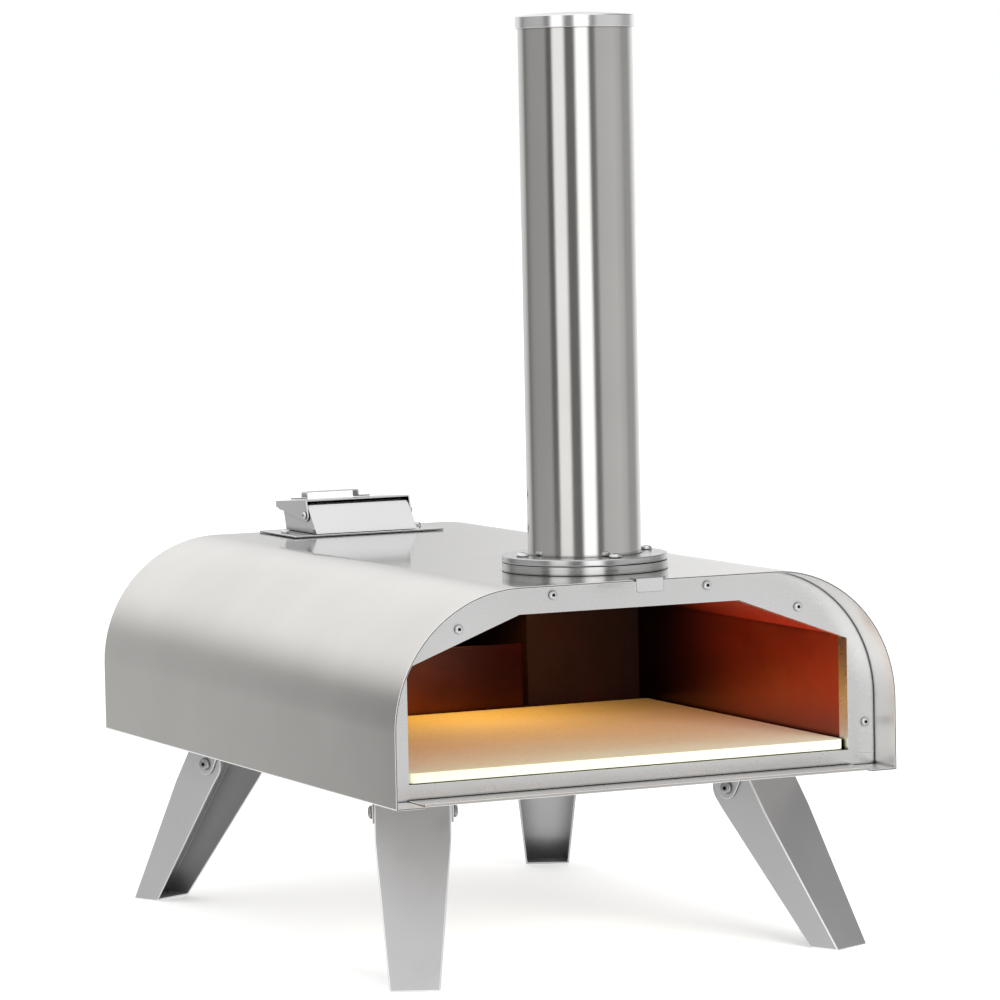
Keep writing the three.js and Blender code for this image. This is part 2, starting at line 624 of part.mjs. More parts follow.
// One leg in its own frame: a tapered channel, open inward, with a rounded top about its pivot.
function legChannel() {
  const rearSlope = (LEG_PIVOT.y + 5.6 - FOOT_DEPTH) / (LEG_PIVOT.z - 16.7);
  const tangent = -THREE.MathUtils.radToDeg(Math.atan(rearSlope));
  const legTop = LEG_PIVOT.z + LEG_TOP_RADIUS;
  const sideProfile = (shift) => [
    at(shift, 0),
    at(FOOT_DEPTH, 0),
    ...arc(LEG_PIVOT.y, LEG_PIVOT.z, LEG_TOP_RADIUS, tangent, 90, 8),
    at(legTop * LEG_LEAN + shift, legTop),
  ];
  const frontProfile = (inset) => [
    at(-FOOT_HALF_WIDTH + inset, -1),
    at(FOOT_HALF_WIDTH - inset, -1),
    at(KNEE_HALF_WIDTH - inset, KNEE_HEIGHT),
    at(KNEE_HALF_WIDTH - inset, legTop + 1),
    at(-KNEE_HALF_WIDTH + inset, legTop + 1),
    at(-KNEE_HALF_WIDTH + inset, KNEE_HEIGHT),
  ];
  const block = common(slab("x", -40, 40, sideProfile(0)), slab("y", -10, 130, frontProfile(0)));
  const webShift = SHEET * Math.hypot(1, LEG_LEAN);
  const hollowProfile = [
    at(webShift + SHEET * LEG_LEAN, SHEET),
    at(140, SHEET),
    at(140, legTop + 2),
    at((legTop + 2) * LEG_LEAN + webShift, legTop + 2),
  ];
  const hollow = common(slab("x", -40, 40, hollowProfile), slab("y", -10, 150, frontProfile(SHEET)));
  return cut(block, hollow, slab("x", -40, 40, holeAt(LEG_PIVOT.y, LEG_PIVOT.z, 2.9)));
}

// The bracket over a leg's top: a plate under the base with an ear outside each of the leg's sides.
function legBracket() {
  const top = BODY_UNDERSIDE + BASE_PLATE_RISE - GAP;
  const earInside = KNEE_HALF_WIDTH + 0.4;
  const earOutside = earInside + SHEET;
  const ear = [
    at(LEG_PIVOT.y + 19, top),
    at(LEG_PIVOT.y - 19, top),
    ...arc(LEG_PIVOT.y, LEG_PIVOT.z, EAR_TIP_RADIUS, 205, 335, 8),
  ];
  const plate = rectangle(-earOutside, LEG_PIVOT.y - 19, earOutside, LEG_PIVOT.y + 19);
  const bracket = joined(
    slab("z", top - SHEET, top, plate),
    slab("x", -earOutside, -earInside, ear),
    slab("x", earInside, earOutside, ear),
  );
  return { bracket: cut(bracket, slab("x", -40, 40, holeAt(LEG_PIVOT.y, LEG_PIVOT.z, 2.9))), earOutside };
}

function buildLegs() {
  const { bracket, earOutside } = legBracket();
  const channel = legChannel();
  const corners = [
    ["front_right", FOOT_X, FOOT_Y, LEG_TURN],
    ["front_left", -FOOT_X, FOOT_Y, -LEG_TURN],
    ["rear_right", FOOT_X, BODY_DEPTH - FOOT_Y, 180 - LEG_TURN],
    ["rear_left", -FOOT_X, BODY_DEPTH - FOOT_Y, 180 + LEG_TURN],
  ];
  for (const [corner, x, y, turn] of corners) {
    const stance = new THREE.Group();
    stance.position.set(x, y, 0);
    stance.rotation.z = THREE.MathUtils.degToRad(turn);
    oven.add(stance);
    place("leg_" + corner, channel.clone(), GREY_STEEL, stance);
    place("leg_bracket_" + corner, bracket.clone(), GREY_STEEL, stance);
    for (const side of [-1, 1])
      fasten(
        "leg_bolt_" + corner + (side < 0 ? "_a" : "_b"),
        screw(4.6, 2.8, 2.5, 6),
        [side * (earOutside + GAP), LEG_PIVOT.y, LEG_PIVOT.z],
        [side, 0, 0],
        stance,
      );
  }
}

buildShell();
buildBurner(buildTunnel());
buildChimney();
buildHopper();
buildLegs();

export default pizzaOven;
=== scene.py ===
"""Looks for the portable pizza oven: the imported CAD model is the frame, and this script finishes it.

Everything is in metres in the model's own frame: +Z up, the mouth faces -Y, x = 0 is the middle plane.
"""

import json
import math

import bmesh
import bpy
from mathutils import Euler, Matrix, Quaternion, Vector


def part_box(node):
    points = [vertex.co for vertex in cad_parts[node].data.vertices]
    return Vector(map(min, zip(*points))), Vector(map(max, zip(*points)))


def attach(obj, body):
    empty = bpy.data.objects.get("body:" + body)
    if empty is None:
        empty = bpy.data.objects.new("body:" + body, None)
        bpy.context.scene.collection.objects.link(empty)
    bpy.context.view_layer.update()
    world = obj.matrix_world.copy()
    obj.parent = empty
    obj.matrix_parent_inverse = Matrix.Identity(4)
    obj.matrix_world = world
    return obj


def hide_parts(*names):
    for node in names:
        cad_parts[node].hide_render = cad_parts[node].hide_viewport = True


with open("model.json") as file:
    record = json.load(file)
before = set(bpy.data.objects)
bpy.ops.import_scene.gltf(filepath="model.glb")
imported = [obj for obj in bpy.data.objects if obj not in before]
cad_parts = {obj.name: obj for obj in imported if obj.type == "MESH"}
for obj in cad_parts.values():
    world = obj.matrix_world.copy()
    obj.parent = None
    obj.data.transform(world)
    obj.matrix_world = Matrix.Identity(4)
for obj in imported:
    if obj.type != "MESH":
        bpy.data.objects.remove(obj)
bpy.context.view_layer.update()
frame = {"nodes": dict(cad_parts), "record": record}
NODES = frame["nodes"]
BODIES = frame["record"]["behaviour"]["bodies"]
BODY_OF = {node: body for body, nodes in BODIES.items() for node in nodes}
SLOT_OF = {row["node"]: row["material_slot"] for row in frame["record"]["subparts"]}
SCENE = bpy.context.scene
MM = 0.001


def link(name, data):
    made = bpy.data.objects.new(name, data)
    SCENE.collection.objects.link(made)
    return made


# ---- Node graphs ----

# A mix node's sockets: its factor, then the pair it takes and the result it gives, for each kind.
MIX_FACTOR = 0
MIX_NUMBERS, MIXED_NUMBER = (2, 3), 0
MIX_COLOURS, MIXED_COLOUR = (6, 7), 2

# Nearly all of a noise's values lie between these.
NOISE_LOW = 0.3
NOISE_HIGH = 0.7

# A surface less open than the first takes the painted shade of a joint at its darkest, and one more open
# than the second takes none.
CLOSED = 0.4
OPEN = 0.85


class Graph:
    """Adds nodes to a tree. A value is a socket, which is linked, or a number or colour, which is set."""

    def __init__(self, tree):
        self.tree = tree

    def feed(self, node, key, value):
        socket = node.inputs[key]
        if isinstance(value, bpy.types.NodeSocket):
            self.tree.links.new(value, socket)
        else:
            socket.default_value = value

    def node(self, kind, inputs=None, **settings):
        made = self.tree.nodes.new(kind)
        for key, value in settings.items():
            setattr(made, key, value)
        for key, value in (inputs or {}).items():
            self.feed(made, key, value)
        return made

    def math(self, operation, first, second=0.0):
        return self.node("ShaderNodeMath", {0: first, 1: second}, operation=operation).outputs[0]

    def add(self, *values):
        total = values[0]
        for value in values[1:]:
            total = self.math("ADD", total, value)
        return total

    def times(self, first, second):
        return self.math("MULTIPLY", first, second)

    def split(self, vector):
        """The x, y and z of a vector."""
        return self.node("ShaderNodeSeparateXYZ", {0: vector}).outputs

    def remap(self, value, low, high, to_low=0.0, to_high=1.0, kind="LINEAR"):
        inputs = {"Value": value, "From Min": low, "From Max": high, "To Min": to_low, "To Max": to_high}
        return self.node("ShaderNodeMapRange", inputs, interpolation_type=kind).outputs["Result"]

    def fade(self, value, start, end, before=0.0, after=1.0):
        """A soft step from one number to another while the value goes from start to end."""
        return self.remap(value, start, end, before, after, "SMOOTHSTEP")

    def spread(self, noise, low=0.0, high=1.0):
        """A noise's usual values spread out between two numbers."""
        return self.remap(noise, NOISE_LOW, NOISE_HIGH, low, high)

    def blend(self, factor, first, second):
        """A number between the two."""
        inputs = {MIX_FACTOR: factor, MIX_NUMBERS[0]: first, MIX_NUMBERS[1]: second}
        return self.node("ShaderNodeMix", inputs).outputs[MIXED_NUMBER]

    def mix(self, factor, first, second):
        """A colour between the two."""
        made = self.node("ShaderNodeMix", {MIX_FACTOR: factor}, data_type="RGBA")
        for key, value in zip(MIX_COLOURS, (first, second)):
            self.feed(made, key, value if isinstance(value, bpy.types.NodeSocket) else (*value, 1))
        return made.outputs[MIXED_COLOUR]


class Shader(Graph):
    """A node material: its Principled shader and the nodes that feed it."""

    def __init__(self, name):
        self.material = bpy.data.materials.new(name)
        self.material.use_nodes = True
        super().__init__(self.material.node_tree)
        self.principled = self.tree.nodes["Principled BSDF"]

    def set(self, **values):
        for key, value in values.items():
            self.feed(self.principled, key.replace("_", " "), value)

    def position(self, scale=(1, 1, 1), shift=(0, 0, 0)):
        """Object coordinates in metres, stretched by a factor for each axis."""
        coords = self.node("ShaderNodeTexCoord").outputs["Object"]
        inputs = {"Vector": coords, "Location": shift, "Scale": scale}
        return self.node("ShaderNodeMapping", inputs).outputs[0]

    def noise(self, vector, scale, detail=4, roughness=0.5):
        inputs = {"Vector": vector, "Scale": scale, "Detail": detail, "Roughness": roughness}
        return self.node("ShaderNodeTexNoise", inputs).outputs["Fac"]

    def bump(self, height, strength, distance, normal=None):
        inputs = {"Height": height, "Strength": strength, "Distance": distance}
        if normal is not None:
            inputs["Normal"] = normal
        return self.node("ShaderNodeBump", inputs).outputs["Normal"]

    def shade_joints(self, colour, reach, left, alone=False):
        """A colour with painted shade: it darkens in joints and corners, where surfaces close in within the
        reach.

        left is the share of the colour that is left in the darkest joint. A piece that is darkened alone
        takes no shade from other pieces.
        """
        probe = self.node("ShaderNodeAmbientOcclusion", {"Distance": reach}, samples=6, only_local=alone)
        dark = self.mix(left, (0, 0, 0), colour)
        return self.mix(self.remap(probe.outputs["AO"], CLOSED, OPEN), dark, colour)


# ---- Materials ----

# Which way brushed lines run, as the stretch of a noise on each axis.
GRAIN = {"x": (1, 130, 130), "y": (130, 1, 130), "z": (130, 130, 1)}

# Each brushed finish: its colour, roughness, the way its lines run, how strongly they show, and, where it
# isn't the usual, how far the painted shade of a joint reaches and the share of the colour left in it. The
# legs take no painted shade from other pieces.
BRUSHED = {
    "shell_steel": ((0.66, 0.64, 0.612), 0.1, "y", 0.008),
    "shell_inside": ((0.88, 0.88, 0.875), 0.38, "y", 0.004, (0.004, 0.15)),
    "panel_steel": ((0.86, 0.86, 0.855), 0.27, "x", 0.004, (0.003, 0.03)),
    "rear_steel": ((0.71, 0.7, 0.69), 0.22, "x", 0.006, (0.003, 0.03)),
    "chimney_steel": ((0.6, 0.59, 0.57), 0.1, "z", 0.03),
    "cap_steel": ((0.84, 0.84, 0.84), 0.18, "x", 0.02),
    "hopper_steel": ((0.76, 0.76, 0.77), 0.05, "x", 0.005, (0.006, 0.02)),
    "leg_steel": ((0.6, 0.595, 0.6), 0.5, "z", 0.012, (0.02, 0.62), True),
    "handle_steel": ((0.62, 0.615, 0.61), 0.12, "x", 0.008, (0.004, 0.05)),
    "catch_steel": ((0.93, 0.93, 0.93), 0.14, "x", 0.004),
    # a dark steel on the shell's rims and round the catch plate, as a painted line of shade
    "cut_edge": ((0.26, 0.255, 0.25), 0.5, "x", 0.01),
    # a bright steel on rounded edges and bends: partly wear, partly a painted highlight
    "worn_edge": ((0.96, 0.96, 0.955), 0.4, "y", 0.01, (0.0025, 0.0)),
    "screw_steel": ((0.75, 0.75, 0.76), 0.16, "x", 0.004, (0.003, 0.02)),
    "leg_bolt_steel": ((0.36, 0.36, 0.365), 0.25, "x", 0.004, (0.004, 0.02)),
    "socket_shade": ((0.06, 0.058, 0.055), 0.5, "x", 0.01),
}
FLANGE_COLOUR = (0.62, 0.62, 0.62)
FLANGE_ROUGHNESS = 0.15


def toned(colour, factor):
    """A colour made darker or lighter."""
    return tuple(min(1, c * factor) for c in colour)


def brushed_steel(name, colour, roughness, grain, depth, joint=(0.003, 0.3), alone=False):
    """Stainless sheet: fine lines along one axis, a slow cloudiness, faint fingermarks and painted shade in
    joints.
    """
    s = Shader(name)
    lines = s.noise(s.position(GRAIN[grain]), 22, detail=5, roughness=0.65)
    clouds = s.noise(s.position(), 9, detail=3)
    marks = s.noise(s.position((1, 1.7, 1)), 31, detail=6, roughness=0.6)
    streaks = 4 * depth
    shade = s.remap(s.add(s.times(lines, streaks), clouds), NOISE_LOW, NOISE_HIGH + streaks)
    varied = s.mix(shade, toned(colour, 0.95), toned(colour, 1.04))
    s.set(Base_Color=s.shade_joints(varied, *joint, alone), Metallic=1.0)
    swing = 6 * depth
    uneven = s.spread(lines, roughness * (1 - swing), roughness * (1 + swing))
    smudged = s.remap(marks, 0.55, 0.75, 0, roughness * 0.2)
    s.set(Roughness=s.add(uneven, smudged))
    s.set(Normal=s.bump(lines, depth, 0.5 * MM))
    return s.material


def turned_steel(name, colour, roughness):
    """A lathe-turned ring: fine circular lines round the chimney's axis, on its face and its edge."""
    s = Shader(name)
    low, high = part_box("chimney_pipe")
    centre = (low + high) / 2
    centred = s.position(shift=(-centre.x, -centre.y, 0))
    x, y, z = s.split(centred)
    radius = s.math("SQRT", s.add(s.times(x, x), s.times(y, y)))
    rings = s.node("ShaderNodeCombineXYZ", {"X": radius, "Z": z}).outputs[0]
    lines = s.noise(rings, 2400, detail=3, roughness=0.7)
    patches = s.noise(centred, 70, detail=3)
    ringed = s.mix(s.spread(lines), toned(colour, 0.78), colour)
    # painted shade in joints and corners
    s.set(Base_Color=s.shade_joints(ringed, 0.003, 0.25), Metallic=1.0)
    uneven = s.spread(lines, roughness - 0.06, roughness + 0.08)
    s.set(Roughness=s.add(uneven, s.remap(patches, 0.4, 0.7, 0, 0.08)))
    s.set(Normal=s.bump(lines, 0.1, 0.2 * MM))
    return s.material


def heated_steel(name):
    """Stainless turned red by the fire and darker towards the back, with painted shade that browns it
    towards the floor.
    """
    s = Shader(name)
    low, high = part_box("inner_liner")
    half_way_up = low.z + (high.z - low.z) * 0.5
    lines = s.noise(s.position(GRAIN["y"]), 20, detail=4, roughness=0.6)
    bloom = s.noise(s.position(), 11, detail=4, roughness=0.55)
    place = s.split(s.position())
    red = s.mix(s.remap(bloom, 0.35, 0.65), (0.9, 0.14, 0.12), (0.96, 0.21, 0.16))
    # painted shade: browner and darker from half way up down to the floor
    shaded_near_floor = s.mix(s.remap(place["Z"], low.z, half_way_up, 1, 0), red, (0.13, 0.08, 0.06))
    ragged = s.add(place["Y"], s.times(bloom, 0.05))
    burnt = s.mix(s.fade(ragged, high.y - 0.16, high.y), shaded_near_floor, (0.05, 0.015, 0.01))
    # painted shade in joints and corners
    s.set(Base_Color=s.shade_joints(burnt, 0.006, 0.1), Metallic=1.0)
    s.set(Roughness=s.spread(lines, 0.28, 0.4))
    s.set(Normal=s.bump(lines, 0.02, 0.5 * MM))
    return s.material


def sooted_steel(name):
    """Steel under a coat of soot, which is thinner in places."""
    s = Shader(name)
    patches = s.noise(s.position(), 26, detail=6, roughness=0.6)
    grains = s.noise(s.position(), 420, detail=3)
    cover = s.remap(patches, 0.5, 0.68, 1, 0.7)
    s.set(Base_Color=s.mix(cover, (0.12, 0.035, 0.02), (0.026, 0.006, 0.003)))
    s.set(Metallic=s.remap(cover, 0.7, 1, 0.5, 0.1))
    s.set(Roughness=s.spread(patches, 0.85, 0.5))
    s.set(Normal=s.bump(grains, 0.2, 0.6 * MM))
    return s.material


def baffle_steel(name):
    """The flame baffle: polished steel, reddened at its left and blackened with soot towards the fire."""
    s = Shader(name)
    low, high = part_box("flame_baffle")
    bloom = s.noise(s.position(), 16, detail=4, roughness=0.6)
    lines = s.noise(s.position(GRAIN["x"]), 20, detail=4, roughness=0.6)
    ragged = s.add(s.split(s.position())["X"], s.times(bloom, 0.09))
    soot = s.fade(ragged, low.x + 0.06, high.x + 0.02)
    blackened = s.mix(soot, (0.42, 0.13, 0.08), (0.06, 0.018, 0.012))
    # painted shade in joints and corners
    s.set(Base_Color=s.shade_joints(blackened, 0.006, 0.2), Metallic=1.0)
    s.set(Roughness=s.spread(lines, 0.12, 0.22))
    s.set(Normal=s.bump(lines, 0.02, 0.5 * MM))
    return s.material


def cordierite(name):
    """Cream cordierite: sandy grain, small pores, a warm tone towards the burner that is partly real
    toasting and partly the fire's glow painted in, and painted uneven light that is warmer to the left.
    """
    s = Shader(name)
    low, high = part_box("pizza_stone")
    place = s.position()
    sand = s.noise(place, 900, detail=3, roughness=0.6)
    flecks = s.noise(place, 240, detail=4, roughness=0.65)
    clouds = s.noise(s.position((1, 2.2, 1)), 8, detail=4)
    x, y, z = s.split(place)
    # warmer towards the back: partly real toasting, partly painted glow of the fire
    toast_and_glow_inward = s.remap(y, low.y, high.y, 0, 0.95)
    # painted light: warmer towards the left, where the white front lamp falls less
    painted_warmth_leftward = s.remap(x, high.x, low.x, 0, 0.3)
    mottle = s.spread(clouds, -0.14, 0.14)
    on_top = s.remap(z, low.z, high.z - 1 * MM)
    toast_and_painted_glow = s.times(s.add(toast_and_glow_inward, painted_warmth_leftward, mottle), on_top)
    speckle = s.remap(flecks, 0.35, 0.65)
    cream = s.mix(speckle, (0.79, 0.8, 0.62), (0.86, 0.87, 0.71))
    toasted_and_glowing = s.mix(speckle, (0.7, 0.61, 0.27), (0.78, 0.7, 0.36))
    s.set(Base_Color=s.mix(s.remap(toast_and_painted_glow, 0, 1), cream, toasted_and_glowing))
    s.set(Roughness=s.spread(sand, 0.78, 0.95), Specular_IOR_Level=0.3)
    cells = s.node("ShaderNodeTexVoronoi", {"Vector": place, "Scale": 330}).outputs["Distance"]
    pores = s.bump(s.remap(cells, 0, 0.22), 0.3, 0.4 * MM)
    s.set(Normal=s.bump(sand, 0.25, 0.4 * MM, pores))
    return s.material


def make_finishes():
    """Every finish by its name: one for each of the record's slots, and those of single pieces."""
    finishes = {name: brushed_steel(name, *look) for name, look in BRUSHED.items()}
    finishes["flange_steel"] = turned_steel("flange_steel", FLANGE_COLOUR, FLANGE_ROUGHNESS)
    for make in (heated_steel, sooted_steel, baffle_steel, cordierite):
        finishes[make.__name__] = make(make.__name__)
    return finishes


# ---- Pieces ----

# Each refined piece: the rounding of its cut edges and of its bends, in millimetres.
ROUNDED = {
    "outer_shell": (0.35, 1.3),
    "base_plate": (0.5, 1.0),
    "front_panel": (0.45, 1.3),
    "rear_panel": (0.45, 1.3),
    "door_catch_plate": (0.4, 0.8),
    "chimney_flange_lower": (0.4, 0.7),
    "chimney_flange_upper": (0.4, 0.9),
    "chimney_pipe": (0.4, 0.8),
    "chimney_cap": (0.5, 0.8),
    "hopper_plate": (0.35, 0.7),
    "hopper_chute": (0.35, 0.8),
    "hopper_lid": (0.35, 0.8),
    "lid_handle": (0.4, 0.6),
    "fuel_door": (0.45, 1.0),
    "tray_handle": (0.5, 0.9),
    "pizza_stone": (0.9, 1.2),
    "flame_baffle": (0.4, 0.8),
    "inner_liner": (0.4, 1.0),
    "fuel_tray": (0.4, 1.0),
}
LEG_ROUNDING = (0.4, 1.0)

# Pieces whose finish isn't that of their slot, and finishes for a piece's faces that look inwards, for its
# rounded edges and for the rims at its front and back.
SPECIAL = {
    "flame_baffle": "baffle_steel",
    "rear_panel": "rear_steel",
    "fuel_door": "rear_steel",
    "tray_handle": "handle_steel",
    "door_catch_plate": "catch_steel",
}
INSIDES = {"outer_shell": "shell_inside"}
EDGES = {
    "outer_shell": "worn_edge",
    "base_plate": "worn_edge",
    "front_panel": "worn_edge",
    "rear_panel": "worn_edge",
    "fuel_door": "worn_edge",
    "hopper_plate": "worn_edge",
    # the catch plate's rounded edges take the dark finish as a painted outline of shade
    "door_catch_plate": "cut_edge",
}
# the shell's rims take the dark finish as a painted line of shade beside its bright rounded edges
RIMS = {"outer_shell": "cut_edge"}

# A refined piece's materials, in the order of their indices.
OUTSIDE, INSIDE, EDGE, RIM = range(4)

SHARP = math.radians(28)  # a curved wall's facets meet at less than this
FLAT = math.radians(0.6)  # faces that meet at less than this are one face
WIDEST_CUT = 2.6 * MM  # a face narrower than this is a sheet's cut edge
LOOKS_IN = -0.3  # a face whose normal goes further than this against the way out looks inwards
LOOKS_ALONG = 0.9  # a face whose normal goes further than this along Y is a rim
BEVEL_SEGMENTS = 3
NORMAL_WEIGHT = 80  # over 50, which is neutral, wide faces lead the shading of the rounded edges

# Each kind of fastener: the way its head faces and half the width of its socket.
HEADS = {
    "front_panel_screw": ((0, -1, 0), 1.3 * MM),
    "rear_panel_screw": ((0, 1, 0), 1.3 * MM),
    "chimney_bolt": ((0, 0, 1), 2.0 * MM),
    "hopper_plate_screw": ((0, 0, 1), 1.5 * MM),
    "tray_handle_rivet": ((0, 1, 0), 0.6 * MM),
    "lid_pivot_screw_left": ((-1, 0, 0), 1.2 * MM),
    "lid_pivot_screw_right": ((1, 0, 0), 1.2 * MM),
}
LEG_BOLT_SOCKET = 1.7 * MM

# The shape of a head, as shares of its height, its socket's half width or its CAD node's radius.
HEAD_SIDES = 24
HEAD_RIM = 0.12  # the straight rim under the dome
HEAD_FLAT = 1.25  # the flat ring round the socket
SOCKET_FLOOR = 0.3  # how high the socket's floor is
SOCKET_WALL = 0.9  # a face within the flat ring that reaches below this is in the socket
FULL_RADIUS = 0.98  # the CAD head's corners beyond this are on its outer edge
HEAD_RADIUS = 0.985  # a little inside the CAD head


def stand_for(piece, material, *nodes):
    """The piece takes a finish, rides with its first node's body and replaces the nodes."""
    piece.data.materials.clear()
    piece.data.materials.append(material)
    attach(piece, BODY_OF[nodes[0]])
    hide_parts(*nodes)
    return piece


def weigh_edges(bm, cut_share):
    """Bevel weights: full on a bend between wide faces, and a share of it on a sheet's thin cut edge."""
    weight = bm.edges.layers.float.new("bevel_weight_edge")
    breadth = {}
    for face in bm.faces:
        breadth[face] = 2 * face.calc_area() / sum(edge.calc_length() for edge in face.edges)
    for edge in bm.edges:
        if len(edge.link_faces) != 2 or edge.calc_face_angle() < SHARP:
            continue
        slim = min(breadth[face] for face in edge.link_faces) < WIDEST_CUT
        edge[weight] = cut_share if slim or not edge.is_convex else 1


def sort_faces(bm, axis, has_inside):
    """Marks the rims at the front and back, and the faces that look in towards the piece's middle line."""
    for face in bm.faces:
        face.smooth = True
        outward = face.calc_center_median() - axis
        outward.y = 0
        if abs(face.normal.y) > LOOKS_ALONG:
            face.material_index = RIM
        elif has_inside and face.normal.dot(outward.normalized()) < LOOKS_IN:
            face.material_index = INSIDE
        else:
            face.material_index = OUTSIDE


def refine(node, material, rounding, inner=None, edge=None, rim=None):
    """A node's shape as clean flat faces, with rounded cut edges and bends and up to four finishes."""
    cut, bend = (size * MM for size in rounding)
    bm = bmesh.new()
    bm.from_mesh(NODES[node].data)
    bmesh.ops.remove_doubles(bm, verts=bm.verts, dist=1e-6)
    bmesh.ops.dissolve_limit(bm, angle_limit=FLAT, verts=bm.verts, edges=bm.edges)
    weigh_edges(bm, cut / bend)
    low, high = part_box(node)
    sort_faces(bm, (low + high) / 2, inner is not None)
    mesh = bpy.data.meshes.new(node + "_fine")
    bm.to_mesh(mesh)
    bm.free()
    piece = link(node + "_fine", mesh)
    bevel = piece.modifiers.new("edges", "BEVEL")
    bevel.width = bend
    bevel.segments = BEVEL_SEGMENTS
    bevel.limit_method = "WEIGHT"
    bevel.material = EDGE if edge else -1
    piece.modifiers.new("normals", "WEIGHTED_NORMAL").weight = NORMAL_WEIGHT
    indices = [polygon.material_index for polygon in mesh.polygons]
    stand_for(piece, material, node)
    for finish in (inner, edge, rim):
        mesh.materials.append(finish or material)
    mesh.polygons.foreach_set("material_index", indices)
    return piece


def head_rings(radius, height, socket):
    """A head's rings from its seat up, over the dome and down into the socket: (radii, height) for each."""
    rim = height * HEAD_RIM
    flat = socket * HEAD_FLAT
    profile = [(radius, 0), (radius, rim)]
    for degrees in range(15, 91, 15):
        t = math.radians(degrees)
        profile.append((flat + (radius - flat) * math.cos(t), rim + (height - rim) * math.sin(t)))
    rings = [([r] * HEAD_SIDES, z) for r, z in profile]
    hexagon = []
    for i in range(HEAD_SIDES):
        across = (2 * math.pi * i / HEAD_SIDES) % (math.pi / 3) - math.pi / 6
        hexagon.append(socket * math.cos(math.pi / 6) / math.cos(across))
    rings.append((hexagon, height))
    rings.append((hexagon, height * SOCKET_FLOOR))
    return rings


def screw_head(radius, height, socket):
    """A button head about +Z with its seat at z = 0: a domed top round a hexagon socket."""
    bm = bmesh.new()
    turns = [2 * math.pi * i / HEAD_SIDES for i in range(HEAD_SIDES)]
    circles = []
    for radii, z in head_rings(radius, height, socket):
        corners = [(r * math.cos(turn), r * math.sin(turn), z) for turn, r in zip(turns, radii)]
        circles.append([bm.verts.new(corner) for corner in corners])
    for low, high in zip(circles, circles[1:]):
        for i in range(HEAD_SIDES):
            j = (i + 1) % HEAD_SIDES
            bm.faces.new((low[i], low[j], high[j], high[i]))
    bm.faces.new(circles[-1])
    for face in bm.faces:
        low_down = min(v.co.z for v in face.verts) < height * SOCKET_WALL
        central = all(v.co.to_2d().length < socket * HEAD_FLAT for v in face.verts)
        face.material_index = int(low_down and central)
    bm.faces.new(list(reversed(circles[0])))
    return bm


def fit_head(node, direction, socket, material, shade):
    """Puts a detailed head where a fastener's CAD node has its plain one, with its socket in shade."""
    corners = [v.co.copy() for v in NODES[node].data.vertices]
    low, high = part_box(node)
    middle = (low + high) / 2
    depths = [c.dot(direction) for c in corners]
    sideways = [(c - middle - direction * (c - middle).dot(direction)).length for c in corners]
    radius = max(sideways)
    seat = min(d for d, s in zip(depths, sideways) if s > radius * FULL_RADIUS)
    bm = screw_head(radius * HEAD_RADIUS, max(depths) - seat, socket)
    turn = direction.to_track_quat("Z", "Y").to_matrix().to_4x4()
    bm.transform(Matrix.Translation(middle + direction * (seat - middle.dot(direction))) @ turn)
    mesh = bpy.data.meshes.new(node + "_head")
    bm.to_mesh(mesh)
    bm.free()
    indices = [polygon.material_index for polygon in mesh.polygons]
    for polygon in mesh.polygons:
        polygon.use_smooth = len(polygon.vertices) == 4
    piece = stand_for(link(node + "_head", mesh), material, node)
    mesh.materials.append(shade)
    mesh.polygons.foreach_set("material_index", indices)
    return piece


def leg_bolt_direction(node):
    """The head of a leg bolt faces away from the other bolt of its leg, on the leg's far side."""
    bolt_low, bolt_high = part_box(node)
    other = node[:-1] + ("a" if node.endswith("b") else "b")
    other_low, other_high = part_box(other)
    return ((bolt_low + bolt_high) / 2 - (other_low + other_high) / 2).normalized()


def dress(finishes):
    """Finishes every node: fine pieces for what shows, and the material alone for the rest."""
    shade = finishes["socket_shade"]
    for node, rounding in ROUNDED.items():
        finish = finishes[SPECIAL.get(node, SLOT_OF[node])]
        others = [finishes.get(table.get(node)) for table in (INSIDES, EDGES, RIMS)]
        refine(node, finish, rounding, *others)
    for node in list(NODES):
        if node.startswith("leg_bolt"):
            direction = leg_bolt_direction(node)
            fit_head(node, direction, LEG_BOLT_SOCKET, finishes["leg_bolt_steel"], shade)
        elif node.startswith("leg_"):
            refine(node, finishes["leg_steel"], LEG_ROUNDING, edge=finishes["worn_edge"])
    for node in list(NODES):
        for kind, (direction, socket) in HEADS.items():
            if node.startswith(kind):
                fit_head(node, Vector(direction), socket, finishes["screw_steel"], shade)
    for node, shape in NODES.items():
        if not shape.hide_render:
            shape.data.materials.clear()
            shape.data.materials.append(finishes[SLOT_OF[node]])


# ---- Studio ----

CAMERA_PLACE = Vector((-1.5536, -3.3685, 0.5961))
CAMERA_HEADING = -25.11  # degrees from +Y, counted anticlockwise
CAMERA_DROP = 4.22  # degrees below the level
CAMERA_ROLL = -1.16  # degrees
CAMERA_LENS = 174.87  # millimetres, like the sensor
CAMERA_SENSOR = 36
CAMERA_REACH = 100

FLOOR_RADIUS = 30
FLOOR_DEPTH = 0.4 * MM  # a little under the feet
FLOOR_COLOUR = (0.95, 0.95, 0.95, 1)
FLOOR_GLOW = 0.35
WHITE = (1, 1, 1, 1)

